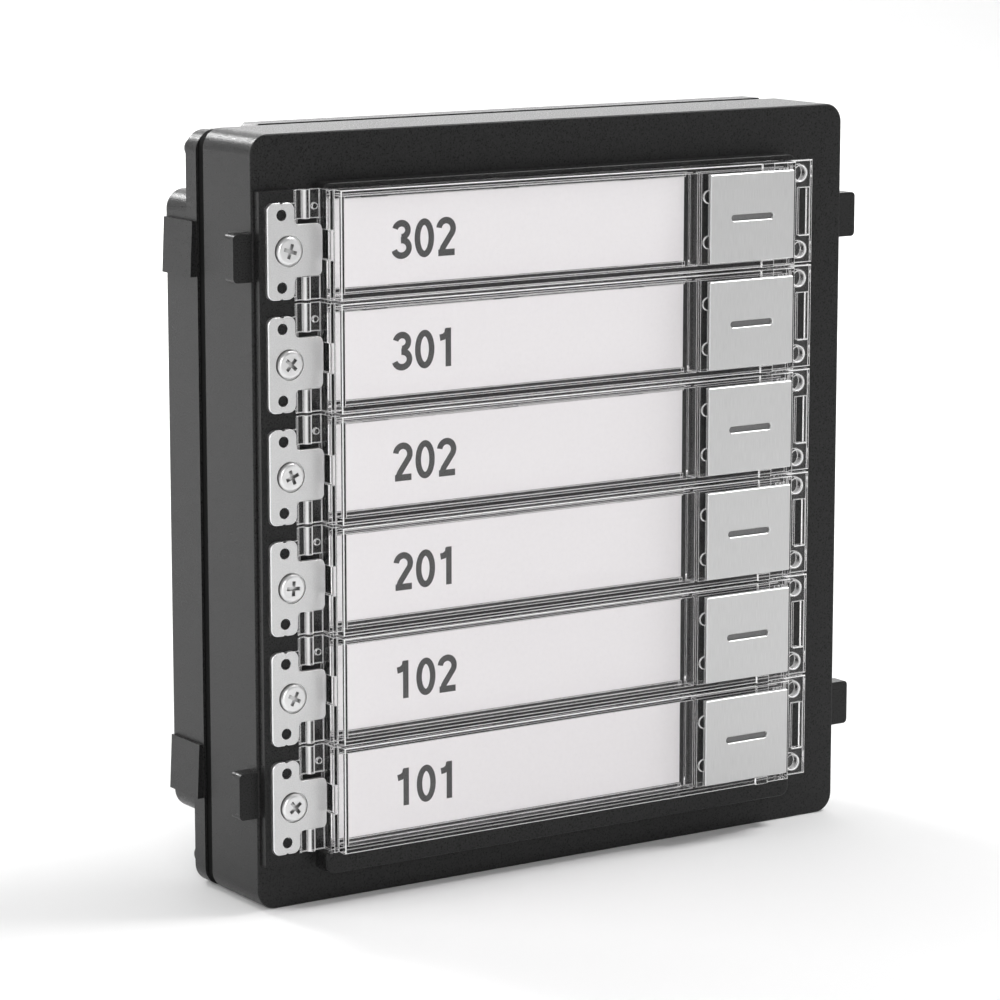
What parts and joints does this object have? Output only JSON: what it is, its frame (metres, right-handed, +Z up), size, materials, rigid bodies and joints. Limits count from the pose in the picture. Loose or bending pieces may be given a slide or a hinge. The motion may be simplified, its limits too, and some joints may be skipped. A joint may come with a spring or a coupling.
{
  "type": "door intercom call panel",
  "caption": "Square black call panel with lit name tags under clear lever covers, brushed call buttons, steel clamp plates and side lugs.",
  "frame": {"origin": "centre of the flat rear face of the rear box", "axes": "+Z up, +Y into the wall, so the front looks along -Y, +X to the right seen from the front"},
  "size_m": [0.0988, 0.0278, 0.1],
  "materials": {
    "black_plastic": "fine textured black moulding",
    "seal_rubber": "matte black seal",
    "clear_plastic": "polished clear moulding",
    "card_film": "matte white film with grey print",
    "brushed_aluminium": "fine vertical brushing",
    "stainless_plate": "bead-blasted stainless sheet",
    "screw_steel": "bright nickel-plated",
    "dark_screw_steel": "black zinc plated",
    "frosted_guide": "frosted light guide",
    "milky_plastic": "milky diffuser sheet",
    "white_plastic": "matte white reflector",
    "board_laminate": "green solder mask",
    "component_plastic": "moulded component bodies",
    "plunger_plastic": "smooth moulded plunger",
    "led_package": "LED package with clear top",
    "socket_plastic": "natural white socket housing",
    "contact_metal": "plated contact pins"
  },
  "bodies": {
    "housing": {"front_housing": "black_plastic", "rear_housing": "black_plastic", "gasket": "seal_rubber", "diffuser": "milky_plastic", "light_frame": "white_plastic", "circuit_board": "board_laminate", "board_components": "component_plastic", "switch_bodies": "component_plastic", "backlight_leds": "led_package", "button_leds": "led_package", "bus_pins": "contact_metal", "bus_socket_in": "socket_plastic", "bus_socket_out": "socket_plastic", "clamp_screws": "screw_steel", "rear_screws": "dark_screw_steel", "board_screws": "screw_steel", "clamp_plate_1": "stainless_plate", "clamp_plate_2": "stainless_plate", "clamp_plate_3": "stainless_plate", "clamp_plate_4": "stainless_plate", "clamp_plate_5": "stainless_plate", "clamp_plate_6": "stainless_plate"},
    "tag_1": {"name_cover_1": "clear_plastic", "name_card_1": "card_film", "button_cap_1": "brushed_aluminium", "light_guide_1": "frosted_guide"},
    "plunger_1": {"switch_plunger_1": "plunger_plastic"},
    "tag_2": {"name_cover_2": "clear_plastic", "name_card_2": "card_film", "button_cap_2": "brushed_aluminium", "light_guide_2": "frosted_guide"},
    "plunger_2": {"switch_plunger_2": "plunger_plastic"},
    "tag_3": {"name_cover_3": "clear_plastic", "name_card_3": "card_film", "button_cap_3": "brushed_aluminium", "light_guide_3": "frosted_guide"},
    "plunger_3": {"switch_plunger_3": "plunger_plastic"},
    "tag_4": {"name_cover_4": "clear_plastic", "name_card_4": "card_film", "button_cap_4": "brushed_aluminium", "light_guide_4": "frosted_guide"},
    "plunger_4": {"switch_plunger_4": "plunger_plastic"},
    "tag_5": {"name_cover_5": "clear_plastic", "name_card_5": "card_film", "button_cap_5": "brushed_aluminium", "light_guide_5": "frosted_guide"},
    "plunger_5": {"switch_plunger_5": "plunger_plastic"},
    "tag_6": {"name_cover_6": "clear_plastic", "name_card_6": "card_film", "button_cap_6": "brushed_aluminium", "light_guide_6": "frosted_guide"},
    "plunger_6": {"switch_plunger_6": "plunger_plastic"}
  },
  "joints": [
    {"name": "tag_press_1", "type": "hinge", "parent": "housing", "child": "tag_1", "pos_m": [-0.0393, -0.02285, 0.03592], "axis": [0, 0, 1], "range_deg": [0, 0.6], "stiffness_Nm_per_rad": 15},
    {"name": "plunger_slide_1", "type": "slide", "parent": "housing", "child": "plunger_1", "axis": [0, 1, 0], "range_m": [0, 0.00071]},
    {"name": "tag_press_2", "type": "hinge", "parent": "housing", "child": "tag_2", "pos_m": [-0.0393, -0.02285, 0.02158], "axis": [0, 0, 1], "range_deg": [0, 0.6], "stiffness_Nm_per_rad": 15},
    {"name": "plunger_slide_2", "type": "slide", "parent": "housing", "child": "plunger_2", "axis": [0, 1, 0], "range_m": [0, 0.00071]},
    {"name": "tag_press_3", "type": "hinge", "parent": "housing", "child": "tag_3", "pos_m": [-0.0393, -0.02285, 0.00722], "axis": [0, 0, 1], "range_deg": [0, 0.6], "stiffness_Nm_per_rad": 15},
    {"name": "plunger_slide_3", "type": "slide", "parent": "housing", "child": "plunger_3", "axis": [0, 1, 0], "range_m": [0, 0.00071]},
    {"name": "tag_press_4", "type": "hinge", "parent": "housing", "child": "tag_4", "pos_m": [-0.0393, -0.02285, -0.00713], "axis": [0, 0, 1], "range_deg": [0, 0.6], "stiffness_Nm_per_rad": 15},
    {"name": "plunger_slide_4", "type": "slide", "parent": "housing", "child": "plunger_4", "axis": [0, 1, 0], "range_m": [0, 0.00071]},
    {"name": "tag_press_5", "type": "hinge", "parent": "housing", "child": "tag_5", "pos_m": [-0.0393, -0.02285, -0.02148], "axis": [0, 0, 1], "range_deg": [0, 0.6], "stiffness_Nm_per_rad": 15},
    {"name": "plunger_slide_5", "type": "slide", "parent": "housing", "child": "plunger_5", "axis": [0, 1, 0], "range_m": [0, 0.00071]},
    {"name": "tag_press_6", "type": "hinge", "parent": "housing", "child": "tag_6", "pos_m": [-0.0393, -0.02285, -0.03583], "axis": [0, 0, 1], "range_deg": [0, 0.6], "stiffness_Nm_per_rad": 15},
    {"name": "plunger_slide_6", "type": "slide", "parent": "housing", "child": "plunger_6", "axis": [0, 1, 0], "range_m": [0, 0.00071]}
  ],
  "couplings": [
    {"joint": "plunger_slide_1", "follows": "tag_press_1", "m_per_rad": 0.0669},
    {"joint": "plunger_slide_2", "follows": "tag_press_2", "m_per_rad": 0.0669},
    {"joint": "plunger_slide_3", "follows": "tag_press_3", "m_per_rad": 0.0669},
    {"joint": "plunger_slide_4", "follows": "tag_press_4", "m_per_rad": 0.0669},
    {"joint": "plunger_slide_5", "follows": "tag_press_5", "m_per_rad": 0.0669},
    {"joint": "plunger_slide_6", "follows": "tag_press_6", "m_per_rad": 0.0669}
  ]
}
